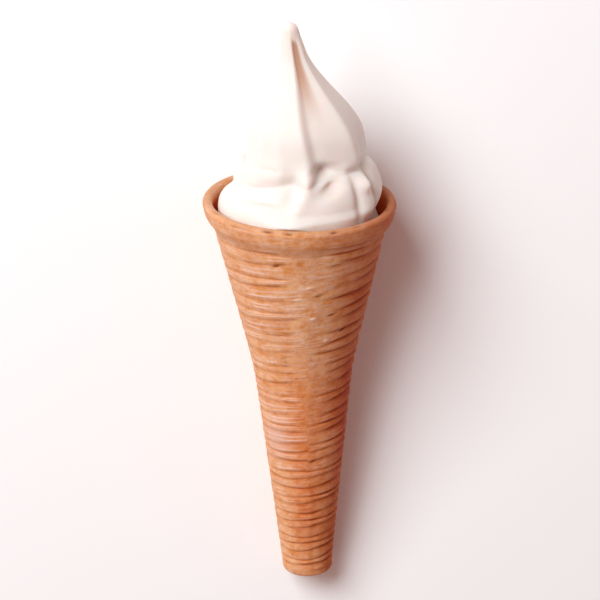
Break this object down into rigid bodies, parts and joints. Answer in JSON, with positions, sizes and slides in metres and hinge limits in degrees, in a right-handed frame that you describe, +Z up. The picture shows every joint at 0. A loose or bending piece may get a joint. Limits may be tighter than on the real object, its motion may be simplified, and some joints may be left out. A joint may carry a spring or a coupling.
{
  "type": "soft serve cone",
  "caption": "Pale cream soft serve drawn up to a leaning peak in a slim, ribbed, rolled biscuit cone, lying on its side; prepared dessert.",
  "frame": {"origin": "middle of the base of the bounding box, on the surface that the cone lies on", "axes": "+Y along the cone from its foot to the cream's tip, +Z up through the seam side of the cone, +X to the right when looking down with the tip at the top"},
  "size_m": [0.0646, 0.1962, 0.0631],
  "materials": {
    "baked_biscuit": "dry baked wafer biscuit: golden brown, paler on the rib crests and darker in the grooves, with small pits",
    "frozen_cream": "soft frozen cream: warm off-white, satin, slightly translucent"
  },
  "bodies": {
    "root": {"cone": "baked_biscuit", "soft_serve": "frozen_cream"}
  },
  "joints": []
}
